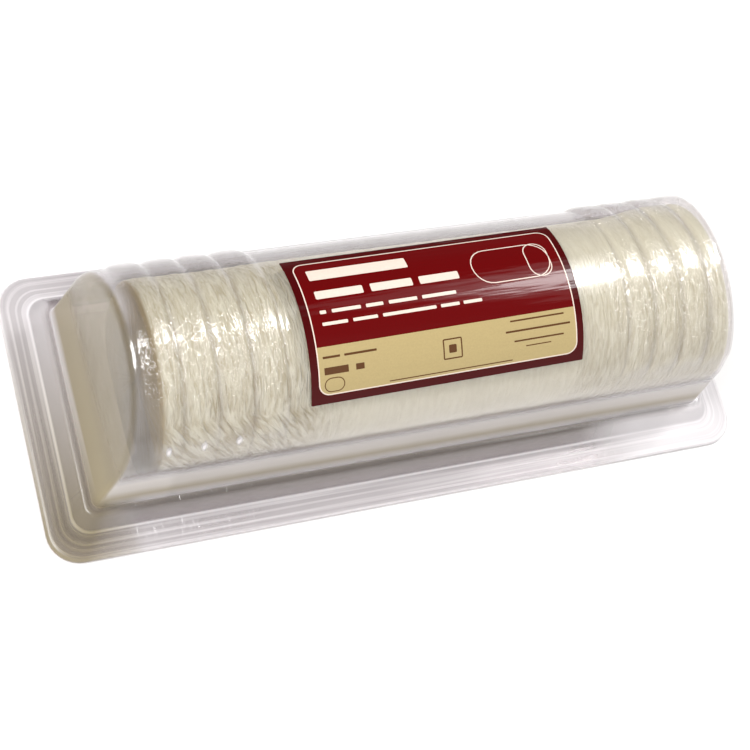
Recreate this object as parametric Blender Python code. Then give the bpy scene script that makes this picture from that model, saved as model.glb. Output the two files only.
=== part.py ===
"""A goat cheese log in its clear pack.

The pack is a thin moulded dome with ribs at both ends and a stepped flange all round. A flat film closes it
from below, the log lies on the film, and a paper label is stuck over the smooth middle of the dome.

Lengths are in metres. X runs along the log, -Y is the side that faces the viewer, and the pack rests on Z = 0.
"""
import math

import bmesh
import bpy

MM = 0.001
CREASE_ANGLE = math.radians(35.0)

# Dome: half a tube over two nearly upright walls
DOME_RADIUS = 38.0 * MM
DOME_AXIS_Z = 36.4 * MM
FOOT_Z = 10.0 * MM
FOOT_HALF_WIDTH = 39.3 * MM
FOOT_HALF_LENGTH = 127.3 * MM
END_WALL_LEAN = math.tan(math.radians(8.2))
SHOULDER_RADIUS = 3.0 * MM
SHELL_THICKNESS = 0.6 * MM
ARC_SEGMENTS = 30
CORNER_SEGMENTS = 5

# Ribs: four raised bands at each end, which fade out low on the sides
RIB_HEIGHT = 1.5 * MM
RIB_COUNT = 4
LEFT_RIB_NEAREST_X = -69.5 * MM
LEFT_RIB_PITCH = 12.7 * MM
RIGHT_RIB_NEAREST_X = 78.3 * MM
RIGHT_RIB_PITCH = 12.1 * MM
RIB_ROUNDNESS = 2.6
RIB_FULL_ANGLE = math.radians(70.0)
RIB_END_ANGLE = math.radians(86.0)
RIB_CUTS = (-0.5, -0.36, -0.13, 0.13, 0.36)

# Flange: a narrow inner ledge, a sloping step and a wide outer ledge with its edge turned down.
# A share tells how far out a line lies between the foot of the dome and the edge.
FLANGE_HALF_LENGTH = 144.5 * MM
FLANGE_HALF_WIDTH = 56.0 * MM
FLANGE_CORNER_RADIUS = 12.0 * MM
INNER_LEDGE_SHARE = 0.20
INNER_LEDGE_DROP = 0.5 * MM
STEP_FOOT_SHARE = 0.38
STEP_FOOT_RISE = 0.4 * MM
OUTER_LEDGE_SHARE = 0.43
OUTER_LEDGE_Z = 3.4 * MM
RIM_SHARE = 0.93
OUTER_LEDGE_RIM_Z = 2.6 * MM
RIM_BEND_Z = 1.7 * MM

# Film, log and label
GAP = 0.3 * MM
FILM_THICKNESS = 0.4 * MM
LOG_RADIUS = 35.5 * MM
LOG_CENTRE_Y = -1.5 * MM
LOG_CENTRE_Z = 35.4 * MM
LOG_SQUARENESS = 3.6
LOG_LEFT_X = -109.0 * MM
LOG_EDGE_RADIUS = 3.0 * MM
LOG_END_CLEARANCE = 0.6 * MM
LOG_SEGMENTS = 44
LOG_CUTS = 12
LOG_UNEVENNESS = 0.25 * MM
# The right end has been pushed home, so from here on the log spreads until it fills the dome
HOME_FROM_X = 84.0 * MM
HOME_TO_X = 112.0 * MM
HOME_SPREAD = 1.035
HOME_CENTRE_Y = -0.2 * MM
HOME_CENTRE_Z = 36.1 * MM
LABEL_CENTRE_X = -1.6 * MM
LABEL_WIDTH = 108.0 * MM
LABEL_BACK_ANGLE = math.radians(37.5)
LABEL_FRONT_ANGLE = math.radians(-51.5)
LABEL_THICKNESS = 0.25 * MM
LABEL_SEGMENTS = 18


def mix(low, high, share):
    return low + (high - low) * share


def smooth_step(low, high, value):
    share = min(max((value - low) / (high - low), 0.0), 1.0)
    return share * share * (3.0 - 2.0 * share)


def set_material(thing, colour, roughness, transmission=0.0):
    material = bpy.data.materials.new(thing.name)
    material.use_nodes = True
    shader = material.node_tree.nodes["Principled BSDF"]
    shader.inputs["Base Color"].default_value = (*colour, 1.0)
    shader.inputs["Roughness"].default_value = roughness
    shader.inputs["Metallic"].default_value = 0.0
    shader.inputs["Transmission Weight"].default_value = transmission
    thing.data.materials.append(material)


def add_object(name, mesh_builder):
    """Makes one object at the origin from a finished bmesh, shaded smooth with crisp creases."""
    bmesh.ops.recalc_face_normals(mesh_builder, faces=mesh_builder.faces)
    mesh = bpy.data.meshes.new(name)
    mesh_builder.to_mesh(mesh)
    mesh_builder.free()
    mesh.shade_smooth()
    mesh.set_sharp_from_angle(angle=CREASE_ANGLE)
    thing = bpy.data.objects.new(name, mesh)
    bpy.context.scene.collection.objects.link(thing)
    return thing


def thicken(thing, thickness, offset):
    wall = thing.modifiers.new("Wall", "SOLIDIFY")
    wall.thickness = thickness
    wall.offset = offset
    wall.use_even_offset = True


def start_chain(builder, points, closed):
    """A row of edges through the points. Each vertex remembers its place in the row."""
    place = builder.verts.layers.int.new("place")
    verts = []
    for index, point in enumerate(points):
        vert = builder.verts.new(point)
        vert[place] = index
        verts.append(vert)
    followers = verts[1:] + verts[:1] if closed else verts[1:]
    return [builder.edges.new(pair) for pair in zip(verts, followers)]


def extrude_to(builder, edges, points):
    """Extrudes a row of edges and puts each new vertex on the point with its place number."""
    place = builder.verts.layers.int["place"]
    grown = bmesh.ops.extrude_edge_only(builder, edges=edges)["geom"]
    fresh = {item for item in grown if isinstance(item, bmesh.types.BMVert)}
    for vert in fresh:
        vert.co = points[vert[place]]
    return [item for item in grown if isinstance(item, bmesh.types.BMEdge) and set(item.verts) <= fresh]


def rib_share(x):
    """How far the wall is pushed out at x: 1 on a rib's crest and 0 in a groove and on the smooth middle."""
    if x < 0.0:
        offset = (LEFT_RIB_NEAREST_X - x) / LEFT_RIB_PITCH
    else:
        # The last rib at the right runs on into the shoulder
        offset = min((x - RIGHT_RIB_NEAREST_X) / RIGHT_RIB_PITCH, RIB_COUNT - 1.0)
    if offset < -0.5 or offset > RIB_COUNT - 0.5:
        return 0.0
    from_crest = abs(offset - round(offset))
    return 1.0 - (2.0 * from_crest) ** RIB_ROUNDNESS


def end_wall_x(z):
    """Outer face of an end wall, which leans inwards above the foot."""
    return FOOT_HALF_LENGTH - END_WALL_LEAN * (z - FOOT_Z)


def dome_stations():
    """Plan stations from left to right: (side, turn) round a corner, or (0, x) along the straight."""
    turns = [math.pi / 2 * step / CORNER_SEGMENTS for step in range(CORNER_SEGMENTS + 1)]
    left_ribs = [LEFT_RIB_NEAREST_X - (rib + cut) * LEFT_RIB_PITCH for rib in range(RIB_COUNT) for cut in RIB_CUTS]
    left_ribs.append(LEFT_RIB_NEAREST_X - (RIB_COUNT - 0.5) * LEFT_RIB_PITCH)
    right_ribs = [RIGHT_RIB_NEAREST_X + (rib + cut) * RIGHT_RIB_PITCH for rib in range(RIB_COUNT) for cut in RIB_CUTS]
    # The last rib is cut short by the shoulder
    top_of_shoulder = end_wall_x(DOME_AXIS_Z + DOME_RADIUS) - SHOULDER_RADIUS
    right_ribs = [x for x in right_ribs if x < top_of_shoulder - 1.0 * MM]
    stations = [(-1, turn) for turn in reversed(turns)]
    stations += [(0, x) for x in sorted(left_ribs) + sorted(right_ribs)]
    stations += [(1, turn) for turn in turns]
    return stations


def plan_point(station, half_length, half_width, radius):
    """Where a station lies on the back half of a rounded rectangle."""
    side, value = station
    if side == 0:
        return value, half_width
    x = side * (half_length - radius * (1.0 - math.sin(value)))
    return x, half_width - radius * (1.0 - math.cos(value))


def dome_section(station):
    """One cross-section of the dome's outer face, from the front foot over the top to the back foot."""
    side, value = station
    shrink = 0.0 if side == 0 else SHOULDER_RADIUS * (1.0 - math.cos(value))
    inboard = 0.0 if side == 0 else SHOULDER_RADIUS * (1.0 - math.sin(value))
    outline = [(-FOOT_HALF_WIDTH + shrink, FOOT_Z, -math.pi / 2)]
    for step in range(ARC_SEGMENTS + 1):
        angle = math.pi * (step / ARC_SEGMENTS - 0.5)
        radius = DOME_RADIUS - shrink
        outline.append((radius * math.sin(angle), DOME_AXIS_Z + radius * math.cos(angle), angle))
    outline.append((FOOT_HALF_WIDTH - shrink, FOOT_Z, math.pi / 2))
    points = []
    for y, z, angle in outline:
        x = value if side == 0 else side * (end_wall_x(z) - inboard)
        fade = 1.0 - smooth_step(RIB_FULL_ANGLE, RIB_END_ANGLE, abs(angle))
        push = RIB_HEIGHT * rib_share(x) * fade
        points.append((x, y + push * math.sin(angle), z + push * math.cos(angle)))
    return points


def flange_ring(stations, share, z):
    """Front points, then back points, of the flange's loop that lies this share of the way out from the foot."""
    half_length = mix(FOOT_HALF_LENGTH, FLANGE_HALF_LENGTH, share)
    half_width = mix(FOOT_HALF_WIDTH, FLANGE_HALF_WIDTH, share)
    radius = mix(SHOULDER_RADIUS, FLANGE_CORNER_RADIUS, share)
    plan = [plan_point(station, half_length, half_width, radius) for station in stations]
    return [(x, -y, z) for x, y in plan] + [(x, y, z) for x, y in plan]


def make_clear_dome():
    builder = bmesh.new()
    stations = dome_stations()
    sections = [dome_section(station) for station in stations]
    chain = start_chain(builder, sections[0], closed=False)
    bmesh.ops.contextual_create(builder, geom=end_loop(builder, chain))
    for points in sections[1:]:
        chain = extrude_to(builder, chain, points)
    bmesh.ops.contextual_create(builder, geom=end_loop(builder, chain))

    # The flange grows from the loop round the foot, so its vertices are numbered as flange_ring gives them
    place = builder.verts.layers.int["place"]
    rim = [edge for edge in builder.edges if edge.is_boundary]
    ring = flange_ring(stations, 0.0, FOOT_Z)
    for vert in {vert for edge in rim for vert in edge.verts}:
        vert[place] = min(range(len(ring)), key=lambda index: math.dist(vert.co, ring[index]))
    flange_profile = (
        (0.8 * INNER_LEDGE_SHARE, FOOT_Z - 0.5 * INNER_LEDGE_DROP),
        (INNER_LEDGE_SHARE, FOOT_Z - INNER_LEDGE_DROP),
        (STEP_FOOT_SHARE, OUTER_LEDGE_Z + STEP_FOOT_RISE),
        (OUTER_LEDGE_SHARE, OUTER_LEDGE_Z),
        (RIM_SHARE, OUTER_LEDGE_RIM_Z),
        (1.00, RIM_BEND_Z),
        (1.00, FILM_THICKNESS + GAP),
    )
    for share, z in flange_profile:
        rim = extrude_to(builder, rim, flange_ring(stations, share, z))
    dome = add_object("clear_dome", builder)
    thicken(dome, SHELL_THICKNESS, -1.0)
    set_material(dome, (0.86, 0.85, 0.84), 0.08, transmission=1.0)


def end_loop(builder, chain):
    """The chain's edges with the edge that closes it along the foot, ready to be filled."""
    counts = {}
    for edge in chain:
        for vert in edge.verts:
            counts[vert] = counts.get(vert, 0) + 1
    feet = [vert for vert, count in counts.items() if count == 1]
    return chain + [builder.edges.new(feet)]


def make_base_film():
    builder = bmesh.new()
    corners = [station for station in dome_stations() if station[0] != 0]
    ring = flange_ring(corners, 1.0, 0.0)
    outline = ring[:len(corners)] + ring[:len(corners) - 1:-1]
    edges = start_chain(builder, outline, closed=True)
    bmesh.ops.contextual_create(builder, geom=edges)
    top = [(x, y, FILM_THICKNESS) for x, y, z in outline]
    bmesh.ops.contextual_create(builder, geom=extrude_to(builder, edges, top))
    film = add_object("base_film", builder)
    set_material(film, (0.88, 0.88, 0.87), 0.15, transmission=1.0)


def log_ring(x, inset, leaning):
    """One ring of the log's outline: round above, squarer below, and flat where the log has settled on the film."""
    points = []
    floor = FILM_THICKNESS + GAP
    home = smooth_step(HOME_FROM_X, HOME_TO_X, x)
    spread = mix(1.0, HOME_SPREAD, home)
    centre_y = mix(LOG_CENTRE_Y, HOME_CENTRE_Y, home)
    centre_z = mix(LOG_CENTRE_Z, HOME_CENTRE_Z, home)
    for step in range(LOG_SEGMENTS):
        angle = 2.0 * math.pi * step / LOG_SEGMENTS
        waviness = math.sin(5.0 * angle + 90.0 * x) * math.sin(3.0 * angle - 60.0 * x)
        radius = LOG_RADIUS * spread - inset - LOG_UNEVENNESS * (0.5 + 0.5 * waviness)
        across, up = math.sin(angle), math.cos(angle)
        if up < 0.0:
            across = math.copysign(abs(across) ** (2.0 / LOG_SQUARENESS), across)
            up = -abs(up) ** (2.0 / LOG_SQUARENESS)
        y = centre_y + radius * across
        z = max(centre_z + radius * up, floor + inset)
        along = x - END_WALL_LEAN * (z - FOOT_Z) if leaning else x
        points.append((along, y, z))
    return points


def make_cheese_log():
    builder = bmesh.new()
    right_face = FOOT_HALF_LENGTH - SHELL_THICKNESS - LOG_END_CLEARANCE
    turns = [math.pi / 2 * step / 3 for step in range(4)]
    rings = []
    for turn in turns:
        x = LOG_LEFT_X + LOG_EDGE_RADIUS * (1.0 - math.sin(turn))
        rings.append(log_ring(x, LOG_EDGE_RADIUS * (1.0 - math.cos(turn)), leaning=False))
    rings.reverse()
    start = LOG_LEFT_X + LOG_EDGE_RADIUS
    stop = end_wall_x(DOME_AXIS_Z + DOME_RADIUS) - 2.0 * LOG_EDGE_RADIUS
    for cut in range(1, LOG_CUTS + 1):
        rings.append(log_ring(mix(start, stop, cut / LOG_CUTS), 0.0, leaning=False))
    for turn in turns:
        x = right_face - LOG_EDGE_RADIUS * (1.0 - math.sin(turn))
        rings.append(log_ring(x, LOG_EDGE_RADIUS * (1.0 - math.cos(turn)), leaning=True))
    edges = start_chain(builder, rings[0], closed=True)
    bmesh.ops.contextual_create(builder, geom=edges)
    for points in rings[1:]:
        edges = extrude_to(builder, edges, points)
    bmesh.ops.contextual_create(builder, geom=edges)
    log = add_object("cheese_log", builder)
    set_material(log, (0.88, 0.85, 0.76), 0.5)


def make_label():
    builder = bmesh.new()
    radius = DOME_RADIUS + GAP
    arc = []
    for step in range(LABEL_SEGMENTS + 1):
        angle = mix(LABEL_FRONT_ANGLE, LABEL_BACK_ANGLE, step / LABEL_SEGMENTS)
        arc.append((LABEL_CENTRE_X - LABEL_WIDTH / 2, radius * math.sin(angle), DOME_AXIS_Z + radius * math.cos(angle)))
    edges = start_chain(builder, arc, closed=False)
    extrude_to(builder, edges, [(x + LABEL_WIDTH, y, z) for x, y, z in arc])
    for face in builder.faces:
        face.normal_update()
    label = add_object("label", builder)
    thicken(label, LABEL_THICKNESS, 1.0)
    set_material(label, (0.32, 0.01, 0.02), 0.3)


def main():
    for thing in list(bpy.data.objects):
        bpy.data.objects.remove(thing)
    make_clear_dome()
    make_base_film()
    make_cheese_log()
    make_label()


main()
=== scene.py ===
"""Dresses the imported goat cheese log: its clear ribbed dome, base film, cheese and printed label.

Lengths are in metres. X runs along the log, -Y is the viewer's side, and the pack rests on Z = 0.
An angle on the dome is measured round the log's axis from the top, and is negative at the front.
"""
import math

import bmesh
import bpy
from bpy.props import FloatProperty, FloatVectorProperty, IntProperty, PointerProperty
from mathutils import Matrix, Vector, noise


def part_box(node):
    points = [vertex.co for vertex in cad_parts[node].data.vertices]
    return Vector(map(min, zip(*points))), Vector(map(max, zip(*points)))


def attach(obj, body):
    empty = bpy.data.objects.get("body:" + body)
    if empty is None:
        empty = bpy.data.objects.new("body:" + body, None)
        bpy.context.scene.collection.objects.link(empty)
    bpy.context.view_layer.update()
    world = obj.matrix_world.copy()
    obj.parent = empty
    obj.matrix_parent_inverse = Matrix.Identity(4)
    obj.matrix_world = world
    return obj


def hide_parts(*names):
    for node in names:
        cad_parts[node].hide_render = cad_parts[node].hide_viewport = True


bl_info = {
    "name": "Packed Goat Cheese Log",
    "version": (1, 0, 0),
    "blender": (4, 5, 0),
    "location": "3D View > Sidebar > Cheese Log",
    "description": "Models the looks of a fresh goat cheese log in its clear ribbed pack",
    "category": "Object",
}

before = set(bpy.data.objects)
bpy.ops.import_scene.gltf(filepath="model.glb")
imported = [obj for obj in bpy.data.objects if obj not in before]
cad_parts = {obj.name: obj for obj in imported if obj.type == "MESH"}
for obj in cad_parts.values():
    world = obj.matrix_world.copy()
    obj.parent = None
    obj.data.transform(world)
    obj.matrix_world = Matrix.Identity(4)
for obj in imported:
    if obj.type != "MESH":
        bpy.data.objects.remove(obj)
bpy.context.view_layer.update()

MM = 0.001
DOME_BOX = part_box("clear_dome")
FILM_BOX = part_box("base_film")
CHEESE_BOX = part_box("cheese_log")
LABEL_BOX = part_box("label")

# The pack's form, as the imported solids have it
DOME_RADIUS = 38.0 * MM
DOME_AXIS_Z = 36.4 * MM
FOOT_Z = 10.0 * MM
FOOT_HALF_WIDTH = 39.3 * MM
FOOT_HALF_LENGTH = 127.3 * MM
END_WALL_LEAN = math.tan(math.radians(8.2))
SHOULDER_RADIUS = 3.0 * MM
RIB_COUNT = 4
LEFT_RIB_NEAREST_X = -69.5 * MM
LEFT_RIB_PITCH = 12.7 * MM
RIGHT_RIB_NEAREST_X = 78.3 * MM
RIGHT_RIB_PITCH = 12.1 * MM
LEFT_RIB_FLATNESS = 3.4
RIGHT_RIB_FLATNESS = 4.0
RIB_FULL_ANGLE = math.radians(70.0)
RIB_END_ANGLE = math.radians(86.0)
FRONT_RIB_LIFT = math.radians(12.0)
FLANGE_HALF_LENGTH = DOME_BOX[1][0]
FLANGE_HALF_WIDTH = DOME_BOX[1][1]
FLANGE_CORNER_RADIUS = 12.0 * MM
LABEL_BACK_ANGLE = math.radians(37.5)
LABEL_FRONT_ANGLE = math.radians(-51.5)
LABEL_RADIUS = DOME_RADIUS + 0.05 * MM
LABEL_CENTRE_X = (LABEL_BOX[0][0] + LABEL_BOX[1][0]) / 2
LABEL_WIDTH = LABEL_BOX[1][0] - LABEL_BOX[0][0]
# The dome is foot and flange below this height, and wall above it
WALL_START_Z = 11.0 * MM
RIB_HEIGHT = 1.5 * MM
DENT_DEPTH = 0.12 * MM
END_WALL_LEVELS_MM = range(16, 70, 6)
PET_GLOSS = 0.075

# The log's axis where it has sagged, and at its right end, which has been pushed home and fills the dome
LOG_CENTRE_Y = -1.5 * MM
LOG_CENTRE_Z = 35.4 * MM
HOME_CENTRE_Y = -0.2 * MM
HOME_CENTRE_Z = 36.1 * MM
HOME_SPREAD = 1.035
END_INSETS = 14
END_INSET_STEP = 2.1 * MM

FILM_GRID_STEP = 4.0 * MM
FILM_GLOSS = 0.05
FILM_HAZE = 0.04
INK_THICKNESS = 0.02 * MM

# The photo's viewpoint and the directions of its picture, as the fit to the pack's edges gives them
CAMERA_PLACE = (-0.24438, -0.18850, 0.58702)
CAMERA_RIGHT = (0.92019, -0.25708, 0.29522)
CAMERA_UP = (0.14594, 0.92507, 0.35065)
CAMERA_VIEW = (0.36324, 0.27958, -0.88876)
CAMERA_SHIFT = 2.0 / 750.0

# Three sheets give the softbox a bright heart and a soft edge: place, width, height and share of its power
SOFTBOX_SHEETS = (
    ((0.45, 0.18, 0.70), 0.18, 0.22, 0.54),
    ((0.52, 0.22, 0.70), 0.38, 0.28, 0.22),
    ((0.52, 0.22, 0.70), 0.54, 0.50, 0.22),
)
SOFTBOX_TARGET = (0.06, 0.0, 0.06)
FILL_PLACE = (-0.45, 0.02, 0.74)
FILL_SIZE = 0.34
FILL_TARGET = (-0.08, 0.0, 0.04)
ROOM_COLOUR = (1.0, 0.995, 0.985, 1.0)
FRONT_WALL_DIRECTION = (-0.64, -0.77, 0.0)


def linear(code):
    """An sRGB hex colour as the linear values that the shaders take."""
    shares = [int(code[at:at + 2], 16) / 255 for at in (1, 3, 5)]
    return tuple(c / 12.92 if c <= 0.04045 else ((c + 0.055) / 1.055) ** 2.4 for c in shares)


def mix(low, high, share):
    return low + (high - low) * share


def smooth_step(low, high, value):
    share = min(max((value - low) / (high - low), 0.0), 1.0)
    return share * share * (3.0 - 2.0 * share)


def new_material(name):
    material = bpy.data.materials.new(name)
    material.use_nodes = True
    material.node_tree.nodes.clear()
    return material, material.node_tree


def add_node(tree, kind, inputs=None, **settings):
    """Adds a node. An input is given a value, or another node's output to link."""
    node = tree.nodes.new("ShaderNode" + kind)
    for name, value in settings.items():
        setattr(node, name, value)
    for name, value in (inputs or {}).items():
        if isinstance(value, bpy.types.NodeSocket):
            tree.links.new(value, node.inputs[name])
        else:
            node.inputs[name].default_value = value
    return node


def stored(tree, name):
    """The number that write_values has stored on the mesh under that name."""
    return add_node(tree, "Attribute", attribute_name=name).outputs["Fac"]


def product(tree, first, second):
    return add_node(tree, "Math", {0: first, 1: second}, operation="MULTIPLY").outputs[0]


def remap(tree, value, low, high, new_low, new_high):
    return add_node(tree, "MapRange", {"Value": value, 1: low, 2: high, 3: new_low, 4: new_high}).outputs[0]


def blend(tree, share, first, second):
    """Mixes two colours, each of them a triple or another node's output."""
    ends = [end if isinstance(end, bpy.types.NodeSocket) else (*end, 1.0) for end in (first, second)]
    return add_node(tree, "Mix", {0: share, 6: ends[0], 7: ends[1]}, data_type="RGBA").outputs[2]


def add_bump(tree, height, distance, strength=1.0, normal=None):
    inputs = {"Height": height, "Distance": distance, "Strength": strength}
    if normal is not None:
        inputs["Normal"] = normal
    return add_node(tree, "Bump", inputs).outputs[0]


def finish_material(material, tree, surface):
    add_node(tree, "OutputMaterial", {"Surface": surface})
    return material


def add_clear_plastic(tree, clear, edge, gloss, haze, milk, normal=None, painted_shade=None):
    """Thin clear plastic: light goes straight through, more tinted at a slant; its haze is a milky skin."""
    slant = add_node(tree, "LayerWeight", {"Blend": 0.5}).outputs["Facing"]
    steep = add_node(tree, "Math", {0: slant, 1: 5.0}, operation="POWER")
    mirror = add_node(tree, "Math", {0: steep.outputs[0], 1: 1.0 - gloss, 2: gloss}, operation="MULTIPLY_ADD")
    depth = add_node(tree, "Math", {0: slant, 1: 2.5}, operation="POWER").outputs[0]
    # Painted shade, where given, darkens what the wall lets through, as a slant does
    if painted_shade is not None:
        depth = add_node(tree, "Math", {0: depth, 1: painted_shade}, operation="MAXIMUM").outputs[0]
    through = add_node(tree, "BsdfTransparent", {"Color": blend(tree, depth, clear, edge)})
    rough = remap(tree, haze, 0.0, 1.0, 0.09, 0.5)
    shine = add_node(tree, "BsdfPrincipled", {
        "Base Color": (1.0, 1.0, 1.0, 1.0), "Metallic": 1.0, "Roughness": rough})
    if normal is not None:
        tree.links.new(normal, shine.inputs["Normal"])
    clear_part = add_node(tree, "MixShader", {
        0: mirror.outputs[0], 1: through.outputs[0], 2: shine.outputs[0]})
    veil = add_node(tree, "BsdfPrincipled", {"Base Color": milk, "Roughness": 0.5})
    return add_node(tree, "MixShader", {0: haze, 1: clear_part.outputs[0], 2: veil.outputs[0]}).outputs[0]


def wrapped_noise(tree, along, around, turn=0.0, detail=2.0, distortion=0.0):
    """Streaky noise on the unrolled sheet, with that spacing along and around the log."""
    plan = add_node(tree, "Attribute", attribute_name="plan").outputs["Vector"]
    turned = add_node(tree, "Mapping", {"Vector": plan, "Rotation": (0.0, 0.0, turn)})
    drawn = add_node(tree, "Mapping", {
        "Vector": turned.outputs[0], "Scale": (1.0 / along, 1.0 / around, 1.0)})
    return add_node(tree, "TexNoise", {
        "Vector": drawn.outputs[0], "Scale": 1.0, "Detail": detail, "Distortion": distortion}).outputs[0]


def even_noise(tree, place, scale, detail):
    return add_node(tree, "TexNoise", {"Vector": place, "Scale": scale, "Detail": detail}).outputs[0]


def make_clear_pet(dome):
    """Thermoformed clear PET: glossy, a little wavy, and milky where it is heat-sealed or wet with whey, with
    painted highlights and painted shade in its haze and tint.
    """
    material, tree = new_material("thermoformed_clear_pet")

    # Pale streaks run round the sealed ledge: painted highlights laid into its haze
    share = stored(tree, "flange_share")
    sides = add_node(tree, "SeparateXYZ", {0: add_node(tree, "TexCoord").outputs["Object"]})
    along = add_node(tree, "Math", {0: sides.outputs[0], 1: sides.outputs[1]}, operation="ADD")
    streak_place = add_node(tree, "CombineXYZ", {
        0: product(tree, share, 13.0), 1: product(tree, along.outputs[0], 7.0)})
    streaks = even_noise(tree, streak_place.outputs[0], 1.0, 4.0)
    pale = remap(tree, streaks, 0.45, 0.7, 0.0, 0.27)
    ledge_highlight_streaks = product(tree, pale, remap(tree, share, 0.40, 0.46, 0.0, 1.0))
    haze = stored(tree, "haze")
    milky = add_node(tree, "Math", {0: haze, 1: ledge_highlight_streaks}, operation="ADD", use_clamp=True)
    milk = blend(tree, stored(tree, "whey"), dome.milk, dome.whey)

    # Fine creases round the ribs, and small dents that catch the lamp as sparkles
    creases = wrapped_noise(tree, 1.6 * MM, 13.0 * MM, distortion=0.4)
    specks = wrapped_noise(tree, 1.5 * MM, 2.2 * MM, detail=1.0, distortion=0.6)
    dents = remap(tree, specks, 0.44, 0.8, 0.0, 1.0)
    creased = add_bump(tree, product(tree, creases, stored(tree, "crumple")), 0.34 * MM)
    dented = add_bump(tree, product(tree, dents, stored(tree, "sparkle")), 1.0 * MM, normal=creased)
    surface = add_clear_plastic(
        tree, dome.tint, dome.edge_tint, PET_GLOSS, milky.outputs[0], milk, dented, stored(tree, "painted_shade"))
    return finish_material(material, tree, surface)


def make_fresh_cheese(cheese):
    """Fresh goat cheese: a moist, dense white paste with a faint sheen; its bare end is painted darker and
    browner as shade, and its furrows are painted darker as shade.
    """
    material, tree = new_material("fresh_goat_cheese")
    place = add_node(tree, "TexCoord").outputs["Object"]
    clouds = even_noise(tree, place, 45.0, 3.0)
    streaks = wrapped_noise(tree, 1.15 * MM, 7.5 * MM, detail=4.0, distortion=0.9)
    slants = wrapped_noise(tree, 2.0 * MM, 12.0 * MM, turn=math.radians(-31.0), distortion=0.7)
    grain = even_noise(tree, place, 800.0, 3.0)
    rough = stored(tree, "rough")
    folds = add_node(tree, "Mix", {0: stored(tree, "slack"), 2: streaks, 3: slants}).outputs[0]
    # The furrows are bumped, and also painted darker as shade
    furrow = remap(tree, folds, 0.32, 0.6, 0.75, 0.0)
    ivory = blend(tree, clouds, cheese.shade, cheese.colour)
    lined = blend(tree, product(tree, furrow, rough), ivory, cheese.furrow_shade)
    # Painted shade on the bare end: a darker, browner colour in clouds
    brown = blend(tree, clouds, cheese.end_shade_colour, tuple(0.72 * c for c in cheese.end_shade_colour))
    wrinkled = add_bump(tree, product(tree, folds, rough), 1.0 * MM)
    paste = add_node(tree, "BsdfPrincipled", {
        "Base Color": blend(tree, stored(tree, "bare"), lined, brown), "Roughness": 0.4, "IOR": 1.42,
        "Normal": add_bump(tree, grain, 0.12 * MM, 0.5, wrinkled)})
    return finish_material(material, tree, paste.outputs[0])


def make_printed_paper(name, colour):
    """Coated label paper: smooth under a thin varnish, so lamps show in it as soft streaks."""
    material, tree = new_material(name)
    place = add_node(tree, "TexCoord").outputs["Object"]
    drawn = add_node(tree, "Mapping", {"Vector": place, "Scale": (28.0, 330.0, 330.0)}).outputs[0]
    fibre = even_noise(tree, place, 1500.0, 2.0)
    paper = add_node(tree, "BsdfPrincipled", {
        "Base Color": blend(tree, fibre, tuple(0.86 * c for c in colour), colour),
        "Roughness": 0.1, "IOR": 1.31, "Normal": add_bump(tree, even_noise(tree, drawn, 1.0, 2.0), 0.2 * MM)})
    return finish_material(material, tree, paper.outputs[0])


def deselect_all():
    if bpy.context.object and bpy.context.object.mode != "OBJECT":
        bpy.ops.object.mode_set(mode="OBJECT")
    bpy.ops.object.select_all(action="DESELECT")


def select_only(thing):
    deselect_all()
    thing.select_set(True)
    bpy.context.view_layer.objects.active = thing


def name_new(name):
    """Names the object that an operator has just added, and puts its place into its mesh."""
    thing = bpy.context.object
    thing.name = name
    thing.data.name = name
    bpy.ops.object.transform_apply(location=True, rotation=True, scale=True)
    return thing


def apply_modifier(thing, kind, **settings):
    modifier = thing.modifiers.new(kind.title(), kind)
    for name, value in settings.items():
        setattr(modifier, name, value)
    bpy.context.view_layer.objects.active = thing
    bpy.ops.object.modifier_apply(modifier=modifier.name)


def cut_across(axis, at):
    """Cuts the mesh in edit mode with a plane square to that axis."""
    place, normal = Vector(), Vector()
    place[axis] = at
    normal[axis] = 1.0
    bpy.ops.mesh.select_all(action="SELECT")
    bpy.ops.mesh.bisect(plane_co=place, plane_no=normal)


def finish_piece(thing, node, material, smooth_angle=math.radians(35.0)):
    select_only(thing)
    bpy.ops.object.shade_smooth_by_angle(angle=smooth_angle)
    thing.data.materials.clear()
    thing.data.materials.append(material)
    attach(thing, "root")
    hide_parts(node)
    deselect_all()


def rib_share(x):
    """How far the wall is pushed out at x: 1 on a rib's crest and 0 in a groove and on the smooth middle."""
    if x < 0.0:
        offset = (LEFT_RIB_NEAREST_X - x) / LEFT_RIB_PITCH
        flatness = LEFT_RIB_FLATNESS
    else:
        # The last rib at the right runs on into the shoulder
        offset = min((x - RIGHT_RIB_NEAREST_X) / RIGHT_RIB_PITCH, RIB_COUNT - 1.0)
        flatness = RIGHT_RIB_FLATNESS
    if offset < -0.5 or offset > RIB_COUNT - 0.5:
        return 0.0
    return 1.0 - (2.0 * abs(offset - round(offset))) ** flatness


def in_ribs(x):
    """1 among the ribs, 0 on the smooth middle and beyond the ribs."""
    left = smooth_step(-62.4 * MM, -63.4 * MM, x) * smooth_step(-114.5 * MM, -113.5 * MM, x)
    right = smooth_step(71.4 * MM, 72.4 * MM, x) * smooth_step(112.0 * MM, 111.0 * MM, x)
    return left + right


def end_wall_x(z):
    """Outer face of an end wall, which leans inwards above the foot."""
    return FOOT_HALF_LENGTH - END_WALL_LEAN * (z - FOOT_Z)


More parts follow.
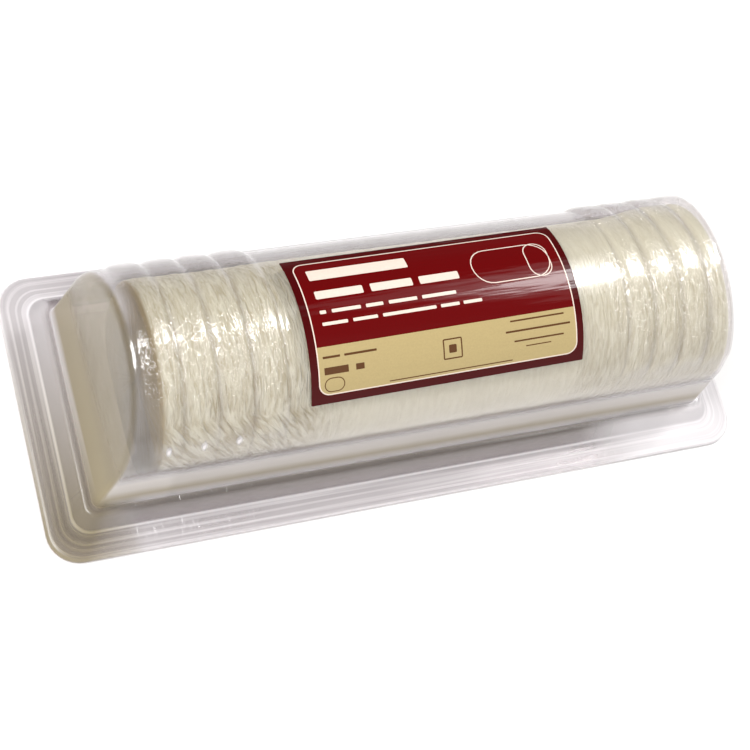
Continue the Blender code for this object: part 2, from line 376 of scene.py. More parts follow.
def dome_stations(corner_steps, rib_step, plain_step):
    """Plan stations from left to right: (side, turn) round a corner, or (0, x) along the straight."""
    turns = [math.pi / 2 * step / corner_steps for step in range(corner_steps + 1)]
    inner_end = end_wall_x(DOME_AXIS_Z + DOME_RADIUS) - SHOULDER_RADIUS
    stations = [(-1, turn) for turn in reversed(turns)]
    x = -inner_end + rib_step
    while x < inner_end - 0.5 * rib_step:
        stations.append((0, x))
        plain = LEFT_RIB_NEAREST_X + 0.6 * LEFT_RIB_PITCH < x < RIGHT_RIB_NEAREST_X - 0.7 * RIGHT_RIB_PITCH
        x += plain_step if plain else rib_step
    stations += [(1, turn) for turn in turns]
    return stations


def dome_section(station, steps, wall_steps):
    """One cross-section of the dome's outer face, from the front foot over the top to the back foot."""
    side, value = station
    shrink = 0.0 if side == 0 else SHOULDER_RADIUS * (1.0 - math.cos(value))
    inboard = 0.0 if side == 0 else SHOULDER_RADIUS * (1.0 - math.sin(value))
    radius = DOME_RADIUS - shrink
    outline = []
    for step in range(wall_steps):
        share = step / wall_steps
        outline.append((mix(FOOT_HALF_WIDTH, DOME_RADIUS, share) - shrink, mix(FOOT_Z, DOME_AXIS_Z, share)))
    front = [(-y, z, -math.pi / 2) for y, z in outline]
    back = [(y, z, math.pi / 2) for y, z in reversed(outline)]
    arc = []
    for step in range(steps + 1):
        angle = math.pi * (step / steps - 0.5)
        arc.append((radius * math.sin(angle), DOME_AXIS_Z + radius * math.cos(angle), angle))
    points = []
    for y, z, angle in front + arc + back:
        x = value if side == 0 else side * (end_wall_x(z) - inboard)
        early = FRONT_RIB_LIFT if angle < 0.0 else 0.0
        fade = 1.0 - smooth_step(RIB_FULL_ANGLE - early, RIB_END_ANGLE - early, abs(angle))
        push = RIB_HEIGHT * rib_share(x) * fade
        dent = DENT_DEPTH * (noise.noise(Vector((x * 160.0, y * 50.0, z * 50.0))) - 1.0)
        push += dent * (1.0 if side == 0 else 0.0)
        points.append((x, y + push * math.sin(angle), z + push * math.cos(angle)))
    return points


def plan_point(station, half_length, half_width, radius):
    """Where a station lies on the back half of a rounded rectangle."""
    side, value = station
    if side == 0:
        return value, half_width
    x = side * (half_length - radius * (1.0 - math.sin(value)))
    return x, half_width - radius * (1.0 - math.cos(value))


def flange_ring(stations, share, z):
    """Front points, then back points, of the flange's loop this share of the way out from the foot."""
    half_length = mix(FOOT_HALF_LENGTH, FLANGE_HALF_LENGTH, share)
    half_width = mix(FOOT_HALF_WIDTH, FLANGE_HALF_WIDTH, share)
    radius = mix(SHOULDER_RADIUS, FLANGE_CORNER_RADIUS, share)
    plan = [plan_point(station, half_length, half_width, radius) for station in stations]
    return [(x, -y, z) for x, y in plan] + [(x, y, z) for x, y in plan]


def write_plan(thing, centre_y, centre_z):
    """Stores each vertex's place on the unrolled sheet: x, and the way round the log from its top."""
    plan = thing.data.attributes.new("plan", "FLOAT_VECTOR", "POINT")
    for vert in thing.data.vertices:
        y, z = vert.co.y - centre_y, vert.co.z - centre_z
        plan.data[vert.index].vector = (vert.co.x, DOME_RADIUS * math.atan2(y, z), math.hypot(y, z))


def write_values(thing, name, rule):
    """Stores a number on each vertex, as the rule gives it for the vertex's place."""
    values = thing.data.attributes.new(name, "FLOAT", "POINT")
    for vert in thing.data.vertices:
        values.data[vert.index].value = rule(vert.co)


def draw_out(thing, points):
    """Extrudes the selected edges once and puts each new vertex on the point that has its place number."""
    bpy.ops.mesh.extrude_region_move()
    sheet = bmesh.from_edit_mesh(thing.data)
    place = sheet.verts.layers.int["place"]
    for vert in sheet.verts:
        if vert.select:
            vert.co = points[vert[place]]


FLANGE_PROFILE = (
    # share of the way out, height in mm
    (0.05, 9.96),
    (0.15, 9.80),
    (0.19, 9.60),
    (0.22, 9.05),
    (0.36, 4.35),
    (0.385, 3.85),
    (0.42, 3.55),
    (0.46, 3.40),
    (0.60, 3.18),
    (0.75, 2.95),
    (0.90, 2.70),
    (0.955, 2.52),
    (0.985, 2.20),
    (1.00, 1.70),
    (1.00, 0.70),
)


def flange_share(place):
    """How far out a place lies between the loop round the foot, 0, and the flange's edge, 1."""
    low, high = -0.3, 1.0
    for halving in range(12):
        share = (low + high) / 2
        radius = mix(SHOULDER_RADIUS, FLANGE_CORNER_RADIUS, share)
        past_x = abs(place.x) - mix(FOOT_HALF_LENGTH, FLANGE_HALF_LENGTH, share) + radius
        past_y = abs(place.y) - mix(FOOT_HALF_WIDTH, FLANGE_HALF_WIDTH, share) + radius
        outside = math.hypot(max(past_x, 0.0), max(past_y, 0.0)) + min(max(past_x, past_y), 0.0) - radius
        if outside > 0.0:
            low = share
        else:
            high = share
    return share


def around_log(place):
    """Angle in degrees round the dome's axis from its top, negative at the front."""
    return math.degrees(math.atan2(place.y, place.z - DOME_AXIS_Z))


def left_wall_share(place):
    """1 on the left end wall, fading to 0 where its shoulder begins."""
    behind = place.x + end_wall_x(max(place.z, FOOT_Z))
    return smooth_step(2.6 * MM, 1.0 * MM, behind)


def shaded_corner_share(place):
    """1 round the flange's left front corner, where whey lies under it; the darker beige given there is
    partly painted shade.
    """
    return smooth_step(-108.0 * MM, -124.0 * MM, place.x) * smooth_step(-12.0 * MM, -30.0 * MM, place.y)


def dome_haze_and_highlights(place):
    """Haze is strongest on the sealed ledge and the walls that whey has wetted; its white dots at rib ends
    and its bright lines on the flange are painted highlights.
    """
    patches = 0.5 + 0.5 * noise.noise(Vector((place.x * 40.0, place.y * 90.0, place.z * 90.0)))
    if place.z > WALL_START_Z:
        return wall_haze_and_highlights(place, patches)
    return flange_haze_and_highlights(place, patches)


def wall_haze_and_highlights(place, patches):
    """Haze above the foot: on the left end wall and its edges, low on the long walls, and in white dots at
    three crests' ends, which are painted highlights.
    """
    x, y, z = (side / MM for side in place)
    corner = smooth_step(-98.0, -108.0, x) * smooth_step(-30.0, -38.0, y) * smooth_step(42.0, 26.0, z)
    end_wall = left_wall_share(place) * mix(0.12, 1.0, smooth_step(62.0, 46.0, z))
    end_wall *= mix(0.55, 1.0, smooth_step(26.0, 2.0, y))
    behind = (place.x + end_wall_x(place.z)) / MM
    arch = smooth_step(0.9, 0.1, abs(behind - 2.7))
    roof = smooth_step(-110.0, -117.0, x) * smooth_step(46.0, 58.0, z)
    roof *= mix(0.1, 1.0, smooth_step(0.0, 16.0, y))
    low_wall = smooth_step(38.0, 28.0, z) * (1.0 - end_wall) * smooth_step(26.0, 36.0, abs(y))
    # Painted shade: a faint beige line where the gap under the log's lower edge lies behind the wall
    gap_shade_line = smooth_step(2.4, 1.2, abs(z - 13.0)) * (1.0 - end_wall)
    haze = 0.02 + 0.02 * patches + 0.44 * corner + (0.32 + 0.1 * patches) * end_wall + 0.20 * roof
    haze += (0.66 + 0.1 * patches) * low_wall + 0.06 * gap_shade_line + 0.03 * arch * smooth_step(18.0, 28.0, z)
    # Painted highlights: white dots of haze where three ribs end at the front
    for crest in range(1, RIB_COUNT):
        away = x - (LEFT_RIB_NEAREST_X - crest * LEFT_RIB_PITCH) / MM - 1.4
        haze += 0.9 * smooth_step(1.2, 0.6, math.hypot(away / 0.9, (around_log(place) + 67.0) / 3.6))
    return min(haze, 0.9)


def flange_haze_and_highlights(place, patches):
    """Haze on the foot, the step, the sealed ledge and the rim; its white lines along the foot, the step's
    edge and the rim are painted highlights.
    """
    share = flange_share(place)
    # Painted highlights: thin white lines along the foot, the step's edge and the rim
    foot_line = 0.5 * smooth_step(0.06, 0.0, abs(share))
    step_highlight_line = 0.55 * smooth_step(0.04, 0.0, abs(share - 0.42))
    rim_highlight_line = 0.3 * smooth_step(0.93, 0.99, share)
    ledge = (0.17 + 0.08 * patches) * smooth_step(0.42, 0.46, share)
    ledge *= mix(1.0, 0.5, smooth_step(60.0, 110.0, place.x / MM))
    left_step = 0.3 * smooth_step(-126.0, -128.5, place.x / MM) * smooth_step(-26.0, 0.0, place.y / MM)
    # Round the left front corner the step's beige haze is partly painted shade
    left_step = max(left_step, 0.34 * shaded_corner_share(place) * smooth_step(0.8, 0.4, share))
    # Painted highlight: white haze on the step at the right end, where the lamp shines in it
    right_step_highlight = 0.6 * smooth_step(66.0, 100.0, place.x / MM)
    step = max(left_step, right_step_highlight) * smooth_step(0.02, 0.1, share)
    return min(0.05 + foot_line + step_highlight_line + rim_highlight_line + max(ledge, step), 0.8)


def dome_whey_and_shade(place):
    """Where the haze is made beige, partly as whey and partly as painted shade: low on the long walls, on the
    left end wall and at one corner.
    """
    z = place.z / MM
    if place.z < WALL_START_Z:
        # Darker beige round the left front corner: partly whey, partly painted shade
        return 0.9 * shaded_corner_share(place)
    low_wall = smooth_step(38.0, 26.0, z)
    # On the left end wall the beige is partly whey and partly painted shade of the gap seen through it
    end_wall = left_wall_share(place)
    # Painted shade: a darker beige line along the foot, where the gap under the log's lower edge lies behind
    # the wall
    foot_line = 0.8 * smooth_step(7.0, 3.0, abs(z - 14.5)) * smooth_step(34.0, 37.0, abs(place.y / MM))
    return max(low_wall * 0.42, 0.9 * end_wall, foot_line)


def dome_crumple(place):
    """How finely creased the plastic is: most round the ribs."""
    if place.z < WALL_START_Z:
        return 0.1
    left = smooth_step(-56.0 * MM, -64.0 * MM, place.x)
    right = smooth_step(50.0 * MM, 66.0 * MM, place.x)
    return 0.1 + 0.9 * left + 1.2 * right


def dome_sparkle(place):
    """Where small dents lie, a little in front of the ribs' tops."""
    angle = around_log(place)
    lowest = mix(-44.0, -58.0, smooth_step(0.0, 10.0 * MM, place.x))
    band = smooth_step(-4.0, -11.0, angle) * smooth_step(lowest, lowest + 14.0, angle)
    left = smooth_step(-60.0 * MM, -68.0 * MM, place.x) * smooth_step(-116.0 * MM, -110.0 * MM, place.x)
    right = smooth_step(64.0 * MM, 72.0 * MM, place.x)
    back = smooth_step(26.0, 36.0, angle) * right
    return max(band * max(left, right), 0.8 * back, 0.15 * max(left, right))


def dome_painted_shade(place):
    """Painted shade: grey lines along the steep grooves between ribs, which stand in for the light bent at
    their flanks, and grey on the flange, more so on its left, which stands in for the shadow under the pack.
    """
    if place.z < WALL_START_Z:
        share = flange_share(place)
        # Painted shade on the flange: grey, more so towards the left and round the left front corner
        corner = shaded_corner_share(place) * smooth_step(0.95, 0.5, share)
        step = 0.12 * smooth_step(0.46, 0.38, share)
        plain = mix(0.2, 0.4, smooth_step(90.0 * MM, 40.0 * MM, place.x))
        return smooth_step(0.0, 0.1, share) * (plain + step + 0.5 * corner)
    if place.z < DOME_AXIS_Z:
        return 0.0
    # Painted shade along the grooves: thin dark lines
    grooves = in_ribs(place.x) * smooth_step(-113.0 * MM, -108.5 * MM, place.x)
    return 0.42 * grooves * (1.0 - rib_share(place.x)) ** 2


def ledge_share(place):
    """The flange's share for its drawn streaks, which end at the wall."""
    return flange_share(place) if place.z < WALL_START_Z else -0.3


DOME_VALUES = (
    ("haze", dome_haze_and_highlights), ("whey", dome_whey_and_shade), ("crumple", dome_crumple), ("sparkle", dome_sparkle),
    ("painted_shade", dome_painted_shade), ("flange_share", ledge_share),
)


class DomeSizes(bpy.types.PropertyGroup):
    wall: FloatProperty(
        name="Wall", description="Thickness of the formed plastic", default=0.6 * MM, unit="LENGTH")
    arc_steps: IntProperty(name="Arc steps", description="Faces round the half tube", default=90, min=24)
    corner_steps: IntProperty(
        name="Corner steps", description="Faces round each upright corner", default=8, min=3)
    rib_step: FloatProperty(
        name="Rib step", description="Spacing of cross-sections along the ribs",
        default=0.7 * MM, unit="LENGTH")
    plain_step: FloatProperty(
        name="Plain step", description="Spacing along the smooth middle", default=2.4 * MM, unit="LENGTH")
    tint: FloatVectorProperty(
        name="Tint", description="What the wall lets through face on",
        default=linear("#fdfcfc"), subtype="COLOR")
    edge_tint: FloatVectorProperty(
        name="Edge tint", description="What it lets through at a slant",
        default=linear("#d9d5d7"), subtype="COLOR")
    milk: FloatVectorProperty(
        name="Milk", description="Colour of its haze", default=linear("#f2eef0"), subtype="COLOR")
    # Darker beige: partly whey, partly painted shade of the gaps seen through the wall
    whey: FloatVectorProperty(
        name="Whey", description="Colour of the haze that whey has left",
        default=linear("#9a8b63"), subtype="COLOR")


class AddDome(bpy.types.Operator):
    """Adds the clear ribbed dome with its stepped flange"""
    bl_idname = "cheese_log.add_dome"
    bl_label = "Clear dome"

    def execute(self, context):
        sizes = context.scene.cheese_log_dome
        deselect_all()
        stations = dome_stations(sizes.corner_steps, sizes.rib_step, sizes.plain_step)
        sections = [dome_section(station, sizes.arc_steps, 4) for station in stations]

        # A row of edges across the log, drawn out along it one station at a time
        bpy.ops.mesh.primitive_circle_add(vertices=len(sections[0]), radius=DOME_RADIUS)
        dome = name_new("pack_dome")
        bpy.ops.object.mode_set(mode="EDIT")
        sheet = bmesh.from_edit_mesh(dome.data)
        place = sheet.verts.layers.int.new("place")
        sheet.verts.ensure_lookup_table()
        for index, point in enumerate(sections[0]):
            sheet.verts[index].co = point
            sheet.verts[index][place] = index
        last = len(sections[0]) - 1
        bpy.ops.mesh.select_mode(type="EDGE")
        bpy.ops.mesh.select_all(action="SELECT")
        bpy.ops.mesh.edge_face_add()
        bpy.ops.mesh.select_all(action="SELECT")
        sheet = bmesh.from_edit_mesh(dome.data)
        sheet.verts.ensure_lookup_table()
        foot_edge = sheet.edges.get((sheet.verts[0], sheet.verts[last]))
        for face in sheet.faces:
            face.select = False
        for edge in sheet.edges:
            edge.select = edge != foot_edge
        sheet.select_flush_mode()
        for points in sections[1:]:
            draw_out(dome, points)
        bpy.ops.mesh.edge_face_add()

        # Level cuts across both end walls let their haze vary over the wall
        bpy.ops.mesh.select_mode(type="FACE")
        for level in END_WALL_LEVELS_MM:
            sheet = bmesh.from_edit_mesh(dome.data)
            for face in sheet.faces:
                face.select = len(face.verts) > 5
            sheet.select_flush_mode()
            bpy.ops.mesh.bisect(plane_co=(0.0, 0.0, level * MM), plane_no=(0.0, 0.0, 1.0))
        bpy.ops.mesh.select_mode(type="EDGE")

        # The flange is drawn out from the loop round the foot
        sheet = bmesh.from_edit_mesh(dome.data)
        place = sheet.verts.layers.int["place"]
        ring = flange_ring(stations, 0.0, FOOT_Z)
        bpy.ops.mesh.select_all(action="DESELECT")
        for edge in sheet.edges:
            edge.select = edge.is_boundary
        sheet.select_flush_mode()
        for vert in sheet.verts:
            if vert.select:
                vert[place] = min(range(len(ring)), key=lambda index: (vert.co - Vector(ring[index])).length)
        for share, height in FLANGE_PROFILE:
            draw_out(dome, flange_ring(stations, share, height * MM))
        bpy.ops.mesh.select_all(action="SELECT")
        bpy.ops.mesh.normals_make_consistent(inside=False)
        bpy.ops.object.mode_set(mode="OBJECT")
        apply_modifier(dome, "SOLIDIFY", thickness=sizes.wall, offset=-1.0, use_even_offset=True)
        write_plan(dome, 0.0, DOME_AXIS_Z)
        for name, rule in DOME_VALUES:
            write_values(dome, name, rule)
        finish_piece(dome, "clear_dome", make_clear_pet(sizes))
        return {"FINISHED"}


class FilmSizes(bpy.types.PropertyGroup):
    thickness: FloatProperty(
        name="Thickness", description="Thickness of the sealing film",
        default=FILM_BOX[1][2], unit="LENGTH")
    tint: FloatVectorProperty(
        name="Tint", description="What the bare film lets through",
        default=linear("#faf7f7"), subtype="COLOR")
    whey: FloatVectorProperty(
        name="Whey", description="Colour of the wet film under the dome",
        default=linear("#d2c6ab"), subtype="COLOR")


def make_wet_film(film):
    """Clear laminate film, wet with whey under the dome, which gives it a beige, milky look there."""
    material, tree = new_material("laminate_sealing_film")
    haze = stored(tree, "haze")
    dry = add_clear_plastic(tree, film.tint, linear("#efe8ea"), FILM_GLOSS, haze, (*linear("#e8e2e3"), 1.0))
    smears = even_noise(tree, add_node(tree, "TexCoord").outputs["Object"], 60.0, 3.0)
    tone = blend(tree, smears, tuple(0.85 * c for c in film.whey), film.whey)
    milk = add_node(tree, "BsdfPrincipled", {"Base Color": tone, "Roughness": 0.25})
    whole = add_node(tree, "MixShader", {0: stored(tree, "whey"), 1: dry, 2: milk.outputs[0]})
    return finish_material(material, tree, whole.outputs[0])


def whey_share(place):
    """How much whey lies at a place: under the log and in the gap at its left end, up to a wavy edge."""
    wave = 0.5 * MM * noise.noise(Vector((place.x * 70.0, place.y * 70.0, 0.0)))
    inside = min(124.0 * MM - abs(place.x), 42.0 * MM - abs(place.y)) + wave
    return 0.9 * smooth_step(-1.0 * MM, 7.0 * MM, inside)


class AddFilm(bpy.types.Operator):
    """Adds the flat film that closes the pack from below"""
    bl_idname = "cheese_log.add_film"
    bl_label = "Base film"

    def execute(self, context):
        sizes = context.scene.cheese_log_film
        deselect_all()
        bpy.ops.mesh.primitive_plane_add(size=1.0)
        film = bpy.context.object
        film.scale = (2.0 * FLANGE_HALF_LENGTH, 2.0 * FLANGE_HALF_WIDTH, 1.0)
        film = name_new("pack_film")
        bpy.ops.object.mode_set(mode="EDIT")
        bpy.ops.mesh.bevel(affect="VERTICES", offset=FLANGE_CORNER_RADIUS, segments=8)
        for axis, half in enumerate((FLANGE_HALF_LENGTH, FLANGE_HALF_WIDTH)):
            cuts = int(2.0 * half / FILM_GRID_STEP)
            for cut in range(1, cuts):
                cut_across(axis, -half + 2.0 * half * cut / cuts)
        bpy.ops.object.mode_set(mode="OBJECT")
        apply_modifier(film, "SOLIDIFY", thickness=sizes.thickness, offset=1.0)
        write_values(film, "whey", whey_share)
        write_values(film, "haze", lambda place: FILM_HAZE)
        finish_piece(film, "base_film", make_wet_film(sizes))
        return {"FINISHED"}


class CheeseSizes(bpy.types.PropertyGroup):
    radius: FloatProperty(name="Radius", description="Radius of the log", default=35.5 * MM, unit="LENGTH")
    squareness: FloatProperty(
        name="Squareness", description="Form of its lower half: 2 is round", default=3.6, min=2.0)
    edge: FloatProperty(name="Edge", description="Rounding of its ends", default=3.0 * MM, unit="LENGTH")
    steps: IntProperty(name="Steps", description="Faces round the log", default=150, min=24)
    rings: IntProperty(name="Rings", description="Rings along the log", default=250, min=20)
    colour: FloatVectorProperty(
        name="Colour", description="The paste in full light", default=linear("#e4e1c9"), subtype="COLOR")
    shade: FloatVectorProperty(
        name="Shade", description="Its greyer clouds", default=linear("#dad5bd"), subtype="COLOR")
    # Painted shade: the colour given to the wrinkles' furrows
    furrow_shade: FloatVectorProperty(
        name="Crease", description="Its furrows", default=linear("#b3a680"), subtype="COLOR")
    # Painted shade: the bare end faces away from the lamps into the gap, so its colour is made darker and
    # browner
    end_shade_colour: FloatVectorProperty(
        name="End colour", description="The bare end", default=linear("#957f45"), subtype="COLOR")


def settle(place, sizes, floor, left, right):
    """Where a point of the round cylinder ends up on the soft log, which has sagged onto the film."""
    y, z = place.y - LOG_CENTRE_Y, place.z - LOG_CENTRE_Z
    reach = math.hypot(y, z)
    if reach > 1e-6:
        across, up = y / reach, z / reach
        if up < 0.0:
            across = math.copysign(abs(across) ** (2.0 / sizes.squareness), across)
            up = -abs(up) ** (2.0 / sizes.squareness)
        swell = noise.noise(Vector((place.x * 25.0, y * 30.0, z * 30.0)))
        ridge = noise.noise(Vector((place.x * 330.0, y * 18.0, z * 18.0)))
        # Slack wrinkles run 31 degrees askew on the unrolled side
        round_log = sizes.radius * math.atan2(place.y - LOG_CENTRE_Y, place.z - LOG_CENTRE_Z)
        across_wrinkle = 0.857 * place.x + 0.515 * round_log
        along_wrinkle = 0.857 * round_log - 0.515 * place.x
        slant = noise.noise(Vector((across_wrinkle * 680.0, along_wrinkle * 120.0, 3.0)))
        depth = mix(0.34 * MM, 0.2 * MM, smooth_step(-62.0 * MM, -30.0 * MM, place.x))
        slack = slack_share(place)
        wrinkle = mix(depth * ridge, 0.62 * MM * slant, slack)
        push = 0.3 * MM * swell + wrinkle - mix(0.36 * MM, 0.6 * MM, slack)
        push *= smooth_step(0.5, 0.9, reach / sizes.radius)
        y, z = across * (reach + push), up * (reach + push)
    # The right end has been pushed home, so it fills the dome
    home = smooth_step(84.0 * MM, 112.0 * MM, place.x)
    y, z = y * mix(1.0, HOME_SPREAD, home), z * mix(1.0, HOME_SPREAD, home)
    centre_y = mix(LOG_CENTRE_Y, HOME_CENTRE_Y, home)
    centre_z = mix(LOG_CENTRE_Z, HOME_CENTRE_Z, home)
    settled = Vector((place.x, centre_y + y, max(centre_z + z, floor)))
    # The bare end is torn and hollow rather than cut
    torn = smooth_step(left + 2.5 * MM, left, place.x) * smooth_step(1.0, 0.8, reach / sizes.radius)
    rough = noise.noise(Vector((0.0, y * 60.0, z * 40.0)))
    settled.x += 1.6 * MM * torn * (1.0 + 0.5 * rough)
    settled.x -= smooth_step(0.09, right, place.x) * END_WALL_LEAN * max(settled.z - FOOT_Z, 0.0)
    return settled


def around_cheese(place):
    """Angle in degrees round the cheese's own axis from its top, negative at the front."""
    return math.degrees(math.atan2(place.y - LOG_CENTRE_Y, place.z - LOG_CENTRE_Z))


def slack_share(place):
    """Where the wrinkles run aslant: low on the front near the left end."""
    around = around_cheese(place)
    low = smooth_step(-46.0, -56.0, around) * smooth_step(-98.0, -88.0, around)
    return low * smooth_step(-40.0 * MM, -62.0 * MM, place.x)


def rough_share(place):
    """How wrinkled the side is: most under the left ribs, less under the label, not at all on the ends."""
    around = around_cheese(place)
    side = mix(1.0, 0.35, smooth_step(-62.0 * MM, -30.0 * MM, place.x))
    right_front = smooth_step(48.0 * MM, 58.0 * MM, place.x) * smooth_step(2.0, -10.0, around)
    side = max(side, 0.9 * right_front)
    # Low at the front near the left end the side is more wrinkled, which also deepens its painted furrow
    # shade
    side += 0.25 * smooth_step(-20.0, -40.0, around) * smooth_step(-40.0 * MM, -60.0 * MM, place.x)
    upright = place.x + END_WALL_LEAN * max(place.z - FOOT_Z, 0.0)
    side *= 1.0 + 0.7 * slack_share(place)
    side *= smooth_step(-108.7 * MM, -107.2 * MM, place.x)
    return side * smooth_step(125.6 * MM, 123.6 * MM, upright)


def bare_share(place):
    """1 on the torn left end, which is painted darker and browner as shade, and 0 on the sides."""
    edge = smooth_step(-106.2 * MM, -107.9 * MM, place.x)
    reach = math.hypot(place.y - LOG_CENTRE_Y, place.z - LOG_CENTRE_Z)
    inner = smooth_step(-104.0 * MM, -105.0 * MM, place.x) * smooth_step(34.4 * MM, 33.2 * MM, reach)
    return max(edge, inner)


class AddCheese(bpy.types.Operator):
    """Adds the log of fresh cheese"""
    bl_idname = "cheese_log.add_cheese"
    bl_label = "Cheese log"

    def execute(self, context):
        sizes = context.scene.cheese_log_cheese
        left, floor, right = CHEESE_BOX[0][0], CHEESE_BOX[0][2], CHEESE_BOX[1][0]
        deselect_all()
        bpy.ops.mesh.primitive_cylinder_add(
            vertices=sizes.steps, radius=sizes.radius, depth=right - left, end_fill_type="NGON",
            location=((left + right) / 2, LOG_CENTRE_Y, LOG_CENTRE_Z), rotation=(0.0, math.pi / 2, 0.0))
        cheese = name_new("goat_cheese")
        bpy.ops.object.mode_set(mode="EDIT")
        bpy.ops.mesh.select_mode(type="FACE")
        sheet = bmesh.from_edit_mesh(cheese.data)
        for face in sheet.faces:
            face.select = abs(face.normal.x) > 0.9
        sheet.select_flush_mode()
        bpy.ops.mesh.region_to_loop()
        bpy.ops.mesh.bevel(offset=sizes.edge, segments=5)
        for ring in range(1, sizes.rings):
            cut_across(0, mix(left + sizes.edge, right - sizes.edge, ring / sizes.rings))
        sheet = bmesh.from_edit_mesh(cheese.data)
        bpy.ops.mesh.select_all(action="DESELECT")
        for face in sheet.faces:
            face.select = len(face.verts) > 4
        for inset in range(END_INSETS):
            bpy.ops.mesh.inset(thickness=END_INSET_STEP)
        sheet = bmesh.from_edit_mesh(cheese.data)
        for vert in sheet.verts:
            vert.co = settle(vert.co, sizes, floor, left, right)
        bmesh.update_edit_mesh(cheese.data)
        bpy.ops.object.mode_set(mode="OBJECT")
        write_plan(cheese, LOG_CENTRE_Y, LOG_CENTRE_Z)
        for name, rule in (("bare", bare_share), ("slack", slack_share), ("rough", rough_share)):
            write_values(cheese, name, rule)
        finish_piece(cheese, "cheese_log", make_fresh_cheese(sizes), math.radians(60.0))
        return {"FINISHED"}


class LabelSizes(bpy.types.PropertyGroup):
    thickness: FloatProperty(
        name="Thickness", description="Thickness of the paper", default=0.2 * MM, unit="LENGTH")
    tilt: FloatProperty(
        name="Tilt", description="How far it is stuck askew", default=math.radians(0.7), unit="ROTATION")
    field: FloatVectorProperty(
        name="Field", description="The printed field", default=linear("#640103"), subtype="COLOR")
    border: FloatVectorProperty(
        name="Border", description="The darker border", default=linear("#480103"), subtype="COLOR")
    panel: FloatVectorProperty(
        name="Panel", description="The light panel", default=linear("#b9a575"), subtype="COLOR")
    light_ink: FloatVectorProperty(
        name="Light ink", description="Bars on the field", default=linear("#ecd9cb"), subtype="COLOR")
    dark_ink: FloatVectorProperty(
        name="Dark ink", description="Bars on the panel", default=linear("#5e3c22"), subtype="COLOR")


def wrap_on_dome(thing, height, thickness, tilt):
    """Turns a flat shape a little askew and rolls it onto the dome, that high over it, as a closed sheet."""
    select_only(thing)
    bpy.ops.object.mode_set(mode="EDIT")
    lowest = min(vert.co.y for vert in thing.data.vertices)
    highest = max(vert.co.y for vert in thing.data.vertices)
    cuts = max(int((highest - lowest) / (1.2 * MM)), 1)
    for cut in range(1, cuts):
        cut_across(1, mix(lowest, highest, cut / cuts))
    bpy.ops.object.mode_set(mode="OBJECT")
    apply_modifier(thing, "SOLIDIFY", thickness=thickness, offset=1.0)
    askew = Matrix.Rotation(tilt, 4, "Z")
    for vert in thing.data.vertices:
        flat = askew @ vert.co
        radius = LABEL_RADIUS + height + vert.co.z
        angle = flat.y / (LABEL_RADIUS + height)
        vert.co = (LABEL_CENTRE_X + flat.x, radius * math.sin(angle), DOME_AXIS_Z + radius * math.cos(angle))


def add_flat_bar(name, left, right, low, high, corner):
    """A flat bar with rounded corners, in mm on the label."""
    deselect_all()
    bpy.ops.mesh.primitive_plane_add(size=1.0, location=((left + right) / 2 * MM, (low + high) / 2 * MM, 0.0))
    bar = bpy.context.object
    bar.scale = ((right - left) * MM, (high - low) * MM, 1.0)
    bar = name_new(name)
    if corner > 0.0:
        bpy.ops.object.mode_set(mode="EDIT")
        bpy.ops.mesh.bevel(affect="VERTICES", offset=corner * MM, segments=6)
        bpy.ops.object.mode_set(mode="OBJECT")
    return bar


def add_outline(name, place, corner, line):
    """A line of that width along the outline of a bar, all in mm."""
    outline = add_flat_bar(name, *place, corner)
    bpy.ops.object.mode_set(mode="EDIT")
    bpy.ops.mesh.select_all(action="SELECT")
    bpy.ops.mesh.inset(thickness=line * MM)
    bpy.ops.mesh.delete(type="FACE")
    bpy.ops.object.mode_set(mode="OBJECT")
    return outline


def join_pieces(name, pieces):
    deselect_all()
    for piece in pieces:
        piece.select_set(True)
    bpy.context.view_layer.objects.active = pieces[0]
    bpy.ops.object.join()
    pieces[0].name = name
    pieces[0].data.name = name
    return pieces[0]


class AddLabel(bpy.types.Operator):
    """Adds the paper label that is stuck over the smooth middle of the dome"""
    bl_idname = "cheese_log.add_label"
    bl_label = "Label"

    def execute(self, context):
        sizes = context.scene.cheese_log_label
        back = LABEL_BACK_ANGLE * LABEL_RADIUS / MM
        front = LABEL_FRONT_ANGLE * LABEL_RADIUS / MM
        half = LABEL_WIDTH / 2 / MM
        label = add_flat_bar("label_paper", -half, half, front + 0.7, back - 0.7, 0.4)
        wrap_on_dome(label, 0.0, sizes.thickness, sizes.tilt)
        finish_piece(label, "label", make_printed_paper("varnished_label_paper", sizes.border))
        return {"FINISHED"}


# Places on the label in mm: left, right, low, high
FIELD_PLACE = (-50.9, 51.0, -30.0, 21.2)
PANEL_PLACE = (-50.9, 51.0, -29.9, -12.6)
LINE_PLACE = (-51.2, 51.3, -30.3, 21.5)
FIELD_CORNER = 4.0
LOG_OUTLINE_PLACE = (15.0, 47.0, 0.5, 15.5)
LOG_END_PLACE = (37.5, 47.0, 0.5, 15.5)
OVAL_PLACE = (-49.1, -41.4, -29.2, -23.8)
MARK_PLACE = (-3.2, 4.4, -24.4, -16.8)
MARK_CORE_PLACE = (-0.9, 2.1, -22.1, -19.1)
